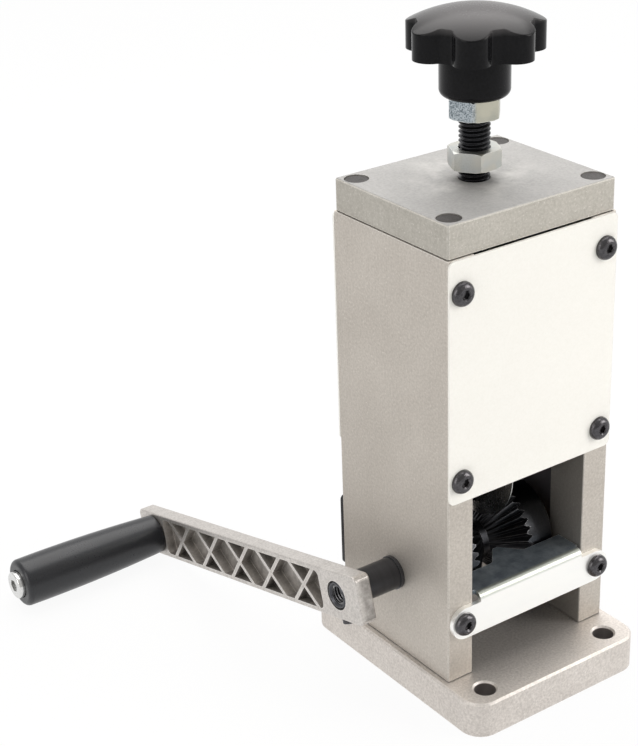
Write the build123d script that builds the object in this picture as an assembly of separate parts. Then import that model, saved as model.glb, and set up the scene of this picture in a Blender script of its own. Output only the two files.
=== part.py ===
"""Hand crank wire stripper: a cast and milled bench tool that pulls cable past a round blade.

Millimetres. +Z is up, the cable runs along Y and leaves at -Y, the crank is on the -X side.
The origin is the centre of the base plate's underside.
Threads are plain cylinders, except on the adjusting stud, which has ring grooves at the thread's pitch.
"""

from build123d import *
from math import atan2, cos, degrees, radians, sin
import os

# ---------------------------------------------------------------- driving dimensions

# Clearances and shared habits
RUNNING_FIT = 0.04  # radial, shafts and discs that turn
SEAT_FIT = 0.02  # radial, pieces that are pushed together and stay
THREAD_FIT = 0.05  # radial, male thread to its hole
SLIDE_GAP = 0.2  # each side of a piece that slides in a channel
AIR_GAP = 0.3  # between faces that pass each other
CUT_PAST = 1.0  # how far a cutting tool runs past the face it opens

# Body: two side plates on a base plate, closed by a cap
BODY_WIDTH = 80.0
BODY_DEPTH = 67.6
PLATE_HEIGHT = 175.7
PLATE_THICKNESS = 12.0
PLATE_CHAMFER = 0.4
SEAM_HEIGHT = 0.35  # relief around a lower edge, seen as a dark line
SEAM_DEPTH = 0.7
BASE_THICKNESS = 15.0
BASE_SIDE_MARGIN = 2.75
BASE_END_MARGIN = 20.5
BASE_CORNER_RADIUS = 9.0
BASE_CHAMFER = 0.8
BASE_HOLE_DIAMETER = 8.4
BASE_HOLE_SPACING_X = 62.0
BASE_HOLE_SPACING_Y = 90.0
BASE_HOLE_CHAMFER = 0.8
CAP_THICKNESS = 13.0
CAP_INSET = 0.6
CAP_CHAMFER = 0.5

# Vertical channels milled in the inner faces of the side plates
CHANNEL_WIDTH = 30.0
CHANNEL_DEPTH = 2.5
CHANNEL_FLOOR_HEIGHT = 19.0  # above the base plate's top
CHANNEL_CORNER_RADIUS = 4.0

# Covers, sheet metal
COVER_THICKNESS = 0.8
COVER_HEIGHT = 96.8
COVER_TOP_GAP = 0.2  # below the cap
COVER_CORNER_RADIUS = 2.5
COVER_SCREW_TOP_INSET = 13.0
COVER_SCREW_BOTTOM_INSET = 9.0

# Outfeed chute, a bent sheet with two ears
CHUTE_THICKNESS = 2.0
CHUTE_BEND_RADIUS = 3.0
CHUTE_FACE_HEIGHT = 17.0
CHUTE_EAR_HEIGHT = 13.5
CHUTE_EAR_RADIUS = 6.5
CHUTE_SIDE_GAP = 0.9
CHUTE_SHIFT = 0.6  # to the right of the body's middle
CHUTE_NECK_INSET = 1.0
CHUTE_TO_ROLLER = 1.0
CHUTE_SCREW_HEIGHT = 6.9  # above the chute's lower edge
CHUTE_RISE_OVER_SHAFT = 1.8
TONGUE_HALF_WIDTH = 8.0
TONGUE_TIP_HALF_WIDTH = 1.2
TONGUE_LENGTH = 8.0
TONGUE_ROOT_RADIUS = 2.5

# Infeed plate on the back, with a notch that centres the cable
INFEED_THICKNESS = 1.5
INFEED_HEIGHT = 32.0
INFEED_BELOW_SHAFT = 13.0
INFEED_CORNER_RADIUS = 2.0
INFEED_NOTCH_WIDTH = 16.0
INFEED_NOTCH_DEPTH = 11.0
INFEED_SCREW_INSET = 5.0

# Where the body's screws stand
SIDE_SCREW_INSET = 5.8  # cover and chute screws, from the body's side
CAP_SCREW_INSET_X = 6.0
CAP_SCREW_INSET_Y = 6.8
BASE_SCREW_SPACING_Y = 40.0

# Screws
BUTTON_HEAD_DIAMETER = 9.5
BUTTON_HEAD_HEIGHT = 2.75
BUTTON_DOME_RADIUS = 2.4
BUTTON_SOCKET = 3.0
BUTTON_SOCKET_DEPTH = 1.6
SOCKET_MOUTH = 0.3  # countersink around a button head's socket
BUTTON_SCREW_DIAMETER = 5.0
BUTTON_SCREW_LENGTH = 10.0
CAP_SCREW_DIAMETER = 5.0
CAP_SCREW_LENGTH = 16.0
CAP_HEAD_DIAMETER = 8.5
CAP_HEAD_HEIGHT = 5.0
CAP_SOCKET = 4.0
CAP_SOCKET_DEPTH = 2.5
CAP_PLUG_THICKNESS = 1.4
CAP_PLUG_RECESS = 0.3  # plug below the cap's top
BASE_SCREW_DIAMETER = 6.0
BASE_SCREW_LENGTH = 22.0
BASE_HEAD_DIAMETER = 10.0
BASE_HEAD_HEIGHT = 6.0
BASE_SOCKET = 5.0
BASE_SOCKET_DEPTH = 3.0
BASE_HEAD_RECESS = 0.6
HEAD_EDGE_CHAMFER = 0.3
COUNTERBORE_GAP = 0.45  # radial, around a sunk head
GRUB_SCREW_DIAMETER = 5.0
GRUB_SOCKET = 2.5
GRUB_SOCKET_DEPTH = 2.0
SMALL_SCREW_DIAMETER = 4.0
SMALL_HEAD_DIAMETER = 7.0
SMALL_HEAD_HEIGHT = 4.0
SMALL_SOCKET = 3.0
SMALL_SCREW_LENGTH = 10.0

# Drive shaft, its bushes and the grooved feed roller
SHAFT_HEIGHT = 49.1
SHAFT_DIAMETER = 13.0
SHAFT_NOSE_DIAMETER = 12.0
SHAFT_NOSE_CHAMFER = 0.9
SHAFT_COLLAR_DIAMETER = 13.8
SHAFT_COLLAR_WIDTH = 1.2
SHAFT_CHAMFER = 0.5
DRIVE_HOLE_DIAMETER = 8.0
DRIVE_HOLE_DEPTH = 18.0
DRIVE_HOLE_CHAMFER = 0.7
BUSH_DIAMETER = 18.0
BUSH_LENGTH = 8.0
BUSH_FLANGE_DIAMETER = 24.0
BUSH_FLANGE_THICKNESS = 2.0
THRUST_WASHER_DIAMETER = 20.0
THRUST_WASHER_THICKNESS = 2.2
ROLLER_DIAMETER = 40.0
ROLLER_CHAMFER = 0.6
GROOVE_WIDTH = 25.0
GROOVE_FLOOR_WIDTH = 3.0
GROOVE_FLOOR_DIAMETER = 18.0
KEY_WIDTH = 4.0
KEY_HEIGHT = 4.0
KEY_LENGTH = 16.0
KEY_SEAT_DEPTH = 2.3

# Crank: cast arm with a lattice pocket, and a grip that turns on a bolt
CRANK_ANGLE = 15.0  # degrees that the arm hangs below level, towards the back
CRANK_RADIUS = 147.0
ARM_GAP = 21.1  # between the body and the arm
ARM_THICKNESS = 7.0
ARM_HEIGHT = 20.0
ARM_NEAR_END = 15.0
ARM_FAR_END = 12.8
ARM_CORNER_RADIUS = 2.5
ARM_FAR_LOWER_RADIUS = 9.0
ARM_EDGE_RADIUS = 0.7
ARM_SCREW_STAND_OUT = 2.2
POCKET_DEPTH = 4.4
POCKET_WALL = 2.0
POCKET_FROM_SHAFT = 11.0
POCKET_FROM_HANDLE = 8.7
POCKET_CORNER_RADIUS = 2.5
RIB_COUNT = 5
RIB_PITCH = 24.85
RIB_FIRST = 23.2
RIB_WIDTH = 1.7
RIB_HALF_SPAN = 8.4
GRIP_LENGTH = 69.0
GRIP_END_DIAMETER = 21.0
GRIP_BELLY_DIAMETER = 21.0
GRIP_BELLY_SHARE = 0.62  # of the length, from the arm
GRIP_ARM_END_DIAMETER = 17.4
GRIP_EDGE_RADIUS = 2.2
GRIP_SLEEVE_DIAMETER = 11.0
HANDLE_BOLT_DIAMETER = 8.0
HANDLE_HEAD_DIAMETER = 12.0
HANDLE_HEAD_HEIGHT = 4.2
HANDLE_HEAD_RECESS = 1.6
HANDLE_HEAD_ROUNDING = 0.8
HANDLE_SOCKET = 5.0
HANDLE_SOCKET_DEPTH = 2.4
HANDLE_NUT_ACROSS_FLATS = 13.0
HANDLE_NUT_THICKNESS = 4.0
HANDLE_BOLT_STAND_OUT = 1.5

# Blade and the carrier that slides in the channels
BLADE_DIAMETER = 48.0
BLADE_THICKNESS = 4.0
BLADE_BEVEL = 6.0
BLADE_EDGE_WIDTH = 0.3
BLADE_OVER_GROOVE = 4.8  # from the groove's floor to the blade's edge, at rest
BLADE_BORE = 14.0
BLADE_BUSH_LENGTH = 8.0
BLADE_AXLE_DIAMETER = 10.0
BLADE_SPACER_DIAMETER = 16.0
BLADE_HEAD_ROOM = 6.0
CARRIER_BAR_HEIGHT = 16.0
CARRIER_CHEEK_THICKNESS = 8.2
CARRIER_CHEEK_BELOW_AXLE = 7.8
CARRIER_CHAMFER = 0.8
KEEPER_LENGTH = 40.0
KEEPER_DEPTH = 24.0
KEEPER_THICKNESS = 3.0
KEEPER_SCREW_SPACING = 30.0

# Adjusting stud, its nuts and the knob
STUD_DIAMETER = 12.0
STUD_PITCH = 1.75
STUD_THREAD_DEPTH = 0.95
STUD_NECK_DIAMETER = 8.0
STUD_FOOT_DIAMETER = 11.6
STUD_FOOT_HEIGHT = 7.0
NUT_ACROSS_FLATS = 18.0
NUT_THICKNESS = 7.2
NUT_CORNER_CHAMFER = 0.9
NUT_CORNER_DROP = 0.55
LOCK_NUT_ABOVE_CAP = 4.6
LOCK_NUT_TURN = 4.5
KNOB_NUT_ABOVE_CAP = 23.5
KNOB_NUT_THICKNESS = 7.8
KNOB_NUT_TURN = -13.0
KNOB_HUB_DIAMETER = 26.2
KNOB_HUB_HEIGHT = 16.3
KNOB_HUB_ROUNDING = 2.8
KNOB_DIAMETER = 51.4
KNOB_LOBES = 7
KNOB_RIM_HEIGHT = 10.0
KNOB_DOME_RISE = 6.4
KNOB_CORE_DIAMETER = 41.6
KNOB_LOBE_RADIUS = 6.7
KNOB_CREASE_RADIUS = 2.4
KNOB_EDGE_RADIUS = 0.6
KNOB_TURN = -43.0  # degrees, turns one lobe to the front left
KNOB_INSERT_DIAMETER = 18.0
KNOB_INSERT_HEIGHT = 14.0

# ---------------------------------------------------------------- levels and stations

BASE_TOP = BASE_THICKNESS
PLATE_TOP = BASE_TOP + PLATE_HEIGHT
CAP_TOP = PLATE_TOP + CAP_THICKNESS
OUTER_X = BODY_WIDTH / 2
INNER_X = OUTER_X - PLATE_THICKNESS
CHANNEL_X = INNER_X + CHANNEL_DEPTH
FRONT_Y = -BODY_DEPTH / 2
BACK_Y = BODY_DEPTH / 2
SIDE_SCREW_X = OUTER_X - SIDE_SCREW_INSET

COVER_BOTTOM = PLATE_TOP - COVER_TOP_GAP - COVER_HEIGHT
COVER_SCREW_LEVELS = (COVER_BOTTOM + COVER_SCREW_BOTTOM_INSET, PLATE_TOP - COVER_SCREW_TOP_INSET)
CHUTE_TOP = SHAFT_HEIGHT + CHUTE_RISE_OVER_SHAFT
CHUTE_BOTTOM = CHUTE_TOP - CHUTE_FACE_HEIGHT
CHUTE_SCREW_LEVEL = CHUTE_BOTTOM + CHUTE_SCREW_HEIGHT
INFEED_BOTTOM = SHAFT_HEIGHT - INFEED_BELOW_SHAFT
INFEED_TOP = INFEED_BOTTOM + INFEED_HEIGHT
INFEED_SCREW_LEVELS = (INFEED_BOTTOM + INFEED_SCREW_INSET, INFEED_TOP - INFEED_SCREW_INSET)

BUSH_FACE_X = CHANNEL_X - BUSH_FLANGE_THICKNESS
ROLLER_END_X = BUSH_FACE_X - THRUST_WASHER_THICKNESS - AIR_GAP
SHAFT_END_X = CHANNEL_X + BUSH_LENGTH - AIR_GAP
ARM_INNER_X = -OUTER_X - ARM_GAP
ARM_OUTER_X = ARM_INNER_X - ARM_THICKNESS

BLADE_LEVEL = SHAFT_HEIGHT + GROOVE_FLOOR_DIAMETER / 2 + BLADE_OVER_GROOVE + BLADE_DIAMETER / 2
CARRIER_HALF_WIDTH = CHANNEL_X - SLIDE_GAP
CARRIER_HALF_DEPTH = CHANNEL_WIDTH / 2 - SLIDE_GAP
CARRIER_BOTTOM = BLADE_LEVEL - CARRIER_CHEEK_BELOW_AXLE
CARRIER_BAR_BOTTOM = BLADE_LEVEL + BLADE_DIAMETER / 2 + BLADE_HEAD_ROOM
CARRIER_TOP = CARRIER_BAR_BOTTOM + CARRIER_BAR_HEIGHT
CHEEK_INNER_X = CARRIER_HALF_WIDTH - CARRIER_CHEEK_THICKNESS

LOCK_NUT_BOTTOM = CAP_TOP + LOCK_NUT_ABOVE_CAP
KNOB_NUT_BOTTOM = CAP_TOP + KNOB_NUT_ABOVE_CAP
KNOB_BOTTOM = KNOB_NUT_BOTTOM + KNOB_NUT_THICKNESS
KNOB_RIM_BOTTOM = KNOB_BOTTOM + KNOB_HUB_HEIGHT
KNOB_RIM_TOP = KNOB_RIM_BOTTOM + KNOB_RIM_HEIGHT

# The arm lies in its own plane: x along the arm, y across it and up, z into the arm from its outer face
ARM_PLANE = Plane(
    origin=(ARM_OUTER_X, 0, SHAFT_HEIGHT),
    x_dir=(0, cos(radians(CRANK_ANGLE)), -sin(radians(CRANK_ANGLE))),
    z_dir=(1, 0, 0),
)

UP = (Align.CENTER, Align.CENTER, Align.MIN)
DOWN = (Align.CENTER, Align.CENTER, Align.MAX)
TO_FRONT = Rot(90, 0, 0)  # turns +Z to -Y
TO_BACK = Rot(-90, 0, 0)
TO_LEFT = Rot(0, -90, 0)  # turns +Z to -X
TO_RIGHT = Rot(0, 90, 0)
UPSIDE_DOWN = Rot(180, 0, 0)


# ---------------------------------------------------------------- fasteners


def hex_socket(across_flats, depth):
    """A socket's cutter, its mouth at z = 0."""
    return extrude(RegularPolygon(across_flats / 2, 6, major_radius=False), -depth)


def button_screw():
    """Button head on z = 0, shank below."""
    head = Cylinder(BUTTON_HEAD_DIAMETER / 2, BUTTON_HEAD_HEIGHT, align=UP)
    head = fillet(head.edges().group_by(Axis.Z)[-1], BUTTON_DOME_RADIUS)
    shank = Cylinder(BUTTON_SCREW_DIAMETER / 2, BUTTON_SCREW_LENGTH, align=DOWN)
    socket = hex_socket(BUTTON_SOCKET, BUTTON_SOCKET_DEPTH)
    corner = BUTTON_SOCKET / 2 / cos(radians(30))
    socket += Cone(corner - SOCKET_MOUTH, corner + SOCKET_MOUTH, 2 * SOCKET_MOUTH, align=DOWN)
    return head + shank - Pos(0, 0, BUTTON_HEAD_HEIGHT) * socket


def socket_screw(diameter, length, head_diameter, head_height, socket, socket_depth):
    """Cylinder head on z = 0, shank below."""
    head = Cylinder(head_diameter / 2, head_height, align=UP)
    head = chamfer(head.edges().group_by(Axis.Z)[-1], HEAD_EDGE_CHAMFER)
    shank = Cylinder(diameter / 2, length, align=DOWN)
    return head + shank - Pos(0, 0, head_height) * hex_socket(socket, socket_depth)


def grub_screw(length):
    """Headless screw from z = 0 down, socket at the top."""
    body = Cylinder(GRUB_SCREW_DIAMETER / 2, length, align=DOWN)
    return body - hex_socket(GRUB_SOCKET, GRUB_SOCKET_DEPTH)


def tapped_hole(diameter, depth):
    """A tapped hole's cutter, its mouth at z = 0."""
    return Cylinder(diameter / 2 + THREAD_FIT, depth + CUT_PAST, align=DOWN)


def hex_nut(across_flats, thickness, bore):
    """A nut on z = 0 with its corners turned off at both faces."""
    body = extrude(RegularPolygon(across_flats / 2, 6, major_radius=False), thickness)
    corner_radius = across_flats / 2 / cos(radians(30))
    turned = Cylinder(corner_radius, thickness, align=UP)
    turned = chamfer(turned.edges().filter_by(GeomType.CIRCLE), NUT_CORNER_DROP, NUT_CORNER_CHAMFER)
    return (body & turned) - Cylinder(bore / 2, thickness, align=UP)


# ---------------------------------------------------------------- where the screws stand


def front_cover_spots():
    return [Pos(x, FRONT_Y, z) * TO_FRONT for x in (-SIDE_SCREW_X, SIDE_SCREW_X) for z in COVER_SCREW_LEVELS]


def rear_cover_spots():
    return [Pos(x, BACK_Y, z) * TO_BACK for x in (-SIDE_SCREW_X, SIDE_SCREW_X) for z in COVER_SCREW_LEVELS]


def chute_spots():
    return [Pos(CHUTE_SHIFT + x, FRONT_Y, CHUTE_SCREW_LEVEL) * TO_FRONT for x in (-SIDE_SCREW_X, SIDE_SCREW_X)]


def infeed_spots():
    return [Pos(x, BACK_Y, z) * TO_BACK for x in (-SIDE_SCREW_X, SIDE_SCREW_X) for z in INFEED_SCREW_LEVELS]


def cap_screw_spots():
    x = OUTER_X - CAP_SCREW_INSET_X
    y = BACK_Y - CAP_SCREW_INSET_Y
    return [Pos(i * x, j * y, PLATE_TOP) for i in (-1, 1) for j in (-1, 1)]


def base_screw_spots():
    x = OUTER_X - PLATE_THICKNESS / 2
    y = BASE_SCREW_SPACING_Y / 2
    return [Pos(i * x, j * y, BASE_TOP) * UPSIDE_DOWN for i in (-1, 1) for j in (-1, 1)]


def keeper_spots():
    return [Pos(i * KEEPER_SCREW_SPACING / 2, 0, CARRIER_TOP) for i in (-1, 1)]


# ---------------------------------------------------------------- body


def seam_relief(width, depth):
    """A frame's cutter on z = 0 that takes a thin step off a block's lower edges."""
    frame = Box(width + CUT_PAST, depth + CUT_PAST, SEAM_HEIGHT, align=UP)
    return frame - Box(width - 2 * SEAM_DEPTH, depth - 2 * SEAM_DEPTH, SEAM_HEIGHT, align=UP)


def base_plate():
    width = BODY_WIDTH + 2 * BASE_SIDE_MARGIN
    depth = BODY_DEPTH + 2 * BASE_END_MARGIN
    plate = extrude(RectangleRounded(width, depth, BASE_CORNER_RADIUS), BASE_THICKNESS)
    plate = chamfer(plate.edges().group_by(Axis.Z)[-1], BASE_CHAMFER)
    hole = Cylinder(BASE_HOLE_DIAMETER / 2, BASE_THICKNESS, align=UP)
    rim = Cone(
        BASE_HOLE_DIAMETER / 2,
        BASE_HOLE_DIAMETER / 2 + BASE_HOLE_CHAMFER,
        BASE_HOLE_CHAMFER,
        align=DOWN,
    )
    for i in (-1, 1):
        for j in (-1, 1):
            spot = Pos(i * BASE_HOLE_SPACING_X / 2, j * BASE_HOLE_SPACING_Y / 2, 0)
            plate -= spot * hole + spot * Pos(0, 0, BASE_THICKNESS) * rim
    clear = Cylinder(BASE_SCREW_DIAMETER / 2 + COUNTERBORE_GAP, BASE_THICKNESS, align=UP)
    sunk = Cylinder(
        BASE_HEAD_DIAMETER / 2 + COUNTERBORE_GAP, BASE_HEAD_HEIGHT + BASE_HEAD_RECESS, align=DOWN
    )
    for spot in base_screw_spots():
        plate -= spot * (clear + Pos(0, 0, BASE_THICKNESS) * sunk)
    return plate


def plate_blank():
    """The right-hand side plate with what both plates share: all but the chute's hole."""
    foot = Pos((INNER_X + OUTER_X) / 2, 0, BASE_TOP)
    plate = foot * Box(PLATE_THICKNESS, BODY_DEPTH, PLATE_HEIGHT, align=UP)
    plate = chamfer(plate.edges().filter_by(Axis.Z), PLATE_CHAMFER)
    plate -= foot * seam_relief(PLATE_THICKNESS, BODY_DEPTH)
    channel_height = PLATE_HEIGHT - CHANNEL_FLOOR_HEIGHT + CUT_PAST
    channel = Box(CHANNEL_DEPTH + CUT_PAST, CHANNEL_WIDTH, channel_height, align=(Align.MAX, Align.CENTER, Align.MIN))
    low_edges = channel.edges().filter_by(Axis.X).group_by(Axis.Z)[0]
    channel = fillet(low_edges, CHANNEL_CORNER_RADIUS)
    plate -= Pos(CHANNEL_X, 0, BASE_TOP + CHANNEL_FLOOR_HEIGHT) * channel
    bearing = Cylinder(BUSH_DIAMETER / 2 + SEAT_FIT, BUSH_LENGTH, align=UP)
    plate -= Pos(CHANNEL_X, 0, SHAFT_HEIGHT) * TO_RIGHT * bearing
    side_hole = tapped_hole(BUTTON_SCREW_DIAMETER, BUTTON_SCREW_LENGTH)
    for spot in front_cover_spots() + rear_cover_spots() + infeed_spots():
        if spot.position.X > 0:
            plate -= spot * side_hole
    cap_hole = tapped_hole(CAP_SCREW_DIAMETER, CAP_SCREW_LENGTH - cap_grip())
    base_hole = tapped_hole(BASE_SCREW_DIAMETER, BASE_SCREW_LENGTH - base_grip())
    for spot in cap_screw_spots():
        if spot.position.X > 0:
            plate -= spot * cap_hole
    for spot in base_screw_spots():
        if spot.position.X > 0:
            plate -= spot * base_hole
    return plate


def left_side_plate():
    """The crank side: the shaft comes out through it."""
    shaft_hole = Cylinder(SHAFT_DIAMETER / 2 + AIR_GAP, PLATE_THICKNESS, align=UP)
    plate = mirror(plate_blank(), Plane.YZ) - Pos(-INNER_X, 0, SHAFT_HEIGHT) * TO_LEFT * shaft_hole
    return plate - chute_spots()[0] * tapped_hole(BUTTON_SCREW_DIAMETER, BUTTON_SCREW_LENGTH)


def right_side_plate():
    return plate_blank() - chute_spots()[1] * tapped_hole(BUTTON_SCREW_DIAMETER, BUTTON_SCREW_LENGTH)


def cap_grip():
    """What the cap holds of its screws, under the head."""
    return CAP_THICKNESS - CAP_HEAD_HEIGHT - CAP_PLUG_THICKNESS - CAP_PLUG_RECESS


def base_grip():
    """What the base plate holds of its screws, under the head."""
    return BASE_THICKNESS - BASE_HEAD_HEIGHT - BASE_HEAD_RECESS


def top_cap():
    cap = Pos(0, 0, PLATE_TOP) * Box(
        BODY_WIDTH - 2 * CAP_INSET, BODY_DEPTH - 2 * CAP_INSET, CAP_THICKNESS, align=UP
    )
    cap = chamfer(cap.edges().group_by(Axis.Z)[-1] + cap.edges().filter_by(Axis.Z), CAP_CHAMFER)
    cap -= Pos(0, 0, PLATE_TOP) * seam_relief(BODY_WIDTH - 2 * CAP_INSET, BODY_DEPTH - 2 * CAP_INSET)
    cap -= Pos(0, 0, PLATE_TOP) * Cylinder(STUD_DIAMETER / 2 + THREAD_FIT, CAP_THICKNESS, align=UP)
    clear = Cylinder(CAP_SCREW_DIAMETER / 2 + COUNTERBORE_GAP, CAP_THICKNESS, align=UP)
    sunk = Cylinder(CAP_HEAD_DIAMETER / 2 + COUNTERBORE_GAP, CAP_THICKNESS - cap_grip(), align=UP)
    for spot in cap_screw_spots():
        cap -= spot * (clear + Pos(0, 0, cap_grip()) * sunk)
    return cap


def cap_screw_plugs():
    """Flat plastic plugs that close the cap's counterbores, on the screws' heads."""
    plug = Cylinder(CAP_HEAD_DIAMETER / 2 + COUNTERBORE_GAP - SEAT_FIT, CAP_PLUG_THICKNESS, align=UP)
    plug = chamfer(plug.edges().group_by(Axis.Z)[-1], HEAD_EDGE_CHAMFER)
    return Compound([spot * Pos(0, 0, cap_grip() + CAP_HEAD_HEIGHT) * plug for spot in cap_screw_spots()])


def cover(face_y, side, spots):
    """Sheet on the plates' faces; side is -1 at the front and 1 at the back."""
    sheet = extrude(RectangleRounded(BODY_WIDTH, COVER_HEIGHT, COVER_CORNER_RADIUS), COVER_THICKNESS)
    turn = TO_FRONT if side < 0 else TO_BACK
    sheet = Pos(0, face_y, COVER_BOTTOM + COVER_HEIGHT / 2) * turn * sheet
    clear = Cylinder(BUTTON_SCREW_DIAMETER / 2 + AIR_GAP, 4 * COVER_THICKNESS)
    return sheet - [spot * clear for spot in spots]


def outfeed_chute():
    """Bent sheet: a shelf between the plates, a front face below it and two ears on the plates."""
    shelf_half = INNER_X - CHUTE_SIDE_GAP
    neck_half = shelf_half - CHUTE_NECK_INSET
    face_y = FRONT_Y - CHUTE_THICKNESS
    shelf_end = -ROLLER_DIAMETER / 2 - CHUTE_TO_ROLLER
    profile = Polyline(
        (face_y, CHUTE_BOTTOM + CHUTE_EAR_RADIUS),
        (face_y, CHUTE_TOP),
        (shelf_end, CHUTE_TOP),
        (shelf_end, CHUTE_TOP - CHUTE_THICKNESS),
        (FRONT_Y, CHUTE_TOP - CHUTE_THICKNESS),
        (FRONT_Y, CHUTE_BOTTOM + CHUTE_EAR_RADIUS),
        close=True,
    )
    bent = extrude(Plane.YZ * make_face(profile), shelf_half, both=True)
    underside = CHUTE_TOP - CHUTE_THICKNESS
    for level, radius in ((CHUTE_TOP, CHUTE_BEND_RADIUS), (underside, CHUTE_BEND_RADIUS - CHUTE_THICKNESS)):
        across = bent.edges().filter_by(Axis.X).filter_by_position(Axis.Z, level, level)
        bent = fillet(across.sort_by(Axis.Y)[0], radius)
    neck_height = CHUTE_FACE_HEIGHT - CHUTE_EAR_HEIGHT
    relief = Box(
        CHUTE_NECK_INSET + CUT_PAST, 3 * CHUTE_THICKNESS, neck_height, align=(Align.MIN, Align.CENTER, Align.MIN)
    )
    ear_top = CHUTE_BOTTOM + CHUTE_EAR_HEIGHT
    relief_spot = Pos(neck_half, FRONT_Y - CHUTE_THICKNESS / 2, ear_top)
    bent -= [relief_spot * relief, mirror(relief_spot * relief, Plane.YZ)]
    strip = RectangleRounded(BODY_WIDTH, CHUTE_EAR_HEIGHT, CHUTE_EAR_RADIUS)
    strip_spot = Pos(0, FRONT_Y, CHUTE_BOTTOM + CHUTE_EAR_HEIGHT / 2)
    chute = bent + strip_spot * TO_FRONT * extrude(strip, CHUTE_THICKNESS)
    tongue = Polygon(
        (-TONGUE_HALF_WIDTH, shelf_end - CUT_PAST),
        (TONGUE_HALF_WIDTH, shelf_end - CUT_PAST),
        (TONGUE_HALF_WIDTH, shelf_end),
        (TONGUE_TIP_HALF_WIDTH, shelf_end + TONGUE_LENGTH),
        (-TONGUE_TIP_HALF_WIDTH, shelf_end + TONGUE_LENGTH),
        (-TONGUE_HALF_WIDTH, shelf_end),
        align=None,
    )
    chute += Pos(0, 0, underside) * extrude(tongue, CHUTE_THICKNESS)
    roots = chute.edges().filter_by(Axis.Z).filter_by_position(Axis.Y, shelf_end, shelf_end)
    chute = fillet(roots.filter_by_position(Axis.X, -TONGUE_HALF_WIDTH, TONGUE_HALF_WIDTH), TONGUE_ROOT_RADIUS)
    chute = Pos(CHUTE_SHIFT, 0, 0) * chute
    clear = Cylinder(BUTTON_SCREW_DIAMETER / 2 + AIR_GAP, 4 * CHUTE_THICKNESS)
    return chute - [spot * clear for spot in chute_spots()]


def infeed_plate():
    sheet = extrude(RectangleRounded(BODY_WIDTH, INFEED_HEIGHT, INFEED_CORNER_RADIUS), INFEED_THICKNESS)
    notch_floor = Pos(0, INFEED_HEIGHT / 2 - INFEED_NOTCH_DEPTH + INFEED_NOTCH_WIDTH / 2)
    notch = notch_floor * Circle(INFEED_NOTCH_WIDTH / 2)
    notch += notch_floor * Rectangle(INFEED_NOTCH_WIDTH, INFEED_NOTCH_DEPTH, align=(Align.CENTER, Align.MIN))
    sheet -= extrude(notch, INFEED_THICKNESS)
    # Turned about X first so that the notch stays at the top, then about Z to face the back
    sheet = Pos(0, BACK_Y + INFEED_THICKNESS, (INFEED_BOTTOM + INFEED_TOP) / 2) * TO_FRONT * sheet
    clear = Cylinder(BUTTON_SCREW_DIAMETER / 2 + AIR_GAP, 4 * INFEED_THICKNESS)
    return sheet - [spot * clear for spot in infeed_spots()]


def screws_through(spots, screw, sheet_thickness):
    """The same screw at each spot, its head on a sheet of that thickness."""
    return Compound([spot * Pos(0, 0, sheet_thickness) * screw for spot in spots])


# ---------------------------------------------------------------- drive


def bush():
    """Flanged bush of the right-hand side; the flange lies on the channel's floor."""
    body = Pos(CHANNEL_X, 0, 0) * TO_RIGHT * Cylinder(BUSH_DIAMETER / 2, BUSH_LENGTH, align=UP)
    body += Pos(BUSH_FACE_X, 0, 0) * TO_RIGHT * Cylinder(
        BUSH_FLANGE_DIAMETER / 2, BUSH_FLANGE_THICKNESS, align=UP
    )
    body -= TO_RIGHT * Cylinder(SHAFT_DIAMETER / 2 + RUNNING_FIT, 4 * OUTER_X)
    return Pos(0, 0, SHAFT_HEIGHT) * body


def thrust_washers():
    washer = Cylinder(THRUST_WASHER_DIAMETER / 2, THRUST_WASHER_THICKNESS)
    washer -= Cylinder(SHAFT_DIAMETER / 2 + RUNNING_FIT, THRUST_WASHER_THICKNESS)
    spots = [Pos(i * (BUSH_FACE_X + ROLLER_END_X) / 2, 0, SHAFT_HEIGHT) * TO_RIGHT for i in (-1, 1)]
    return Compound([spot * washer for spot in spots])


def key_box(clearance):
    """The key standing in the shaft's top, grown by a clearance."""
    return Pos(0, 0, SHAFT_DIAMETER / 2 - KEY_SEAT_DEPTH - clearance) * Box(
        KEY_LENGTH + 2 * clearance, KEY_WIDTH + 2 * clearance, KEY_HEIGHT + 2 * clearance, align=UP
    )


def key_spot():
    """The key lies in the roller's left half, where the roller is thick."""
    return Pos(-(ROLLER_END_X + GROOVE_WIDTH / 2) / 2 + KEY_LENGTH / 4, 0, SHAFT_HEIGHT)


def roller_grub_spot():
    x = (ROLLER_END_X + GROOVE_WIDTH / 2) / 2
    return Pos(x, 0, SHAFT_HEIGHT + ROLLER_DIAMETER / 2)


def roller_grub_length():
    return ROLLER_DIAMETER / 2 - SHAFT_DIAMETER / 2 - 2 * AIR_GAP


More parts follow.
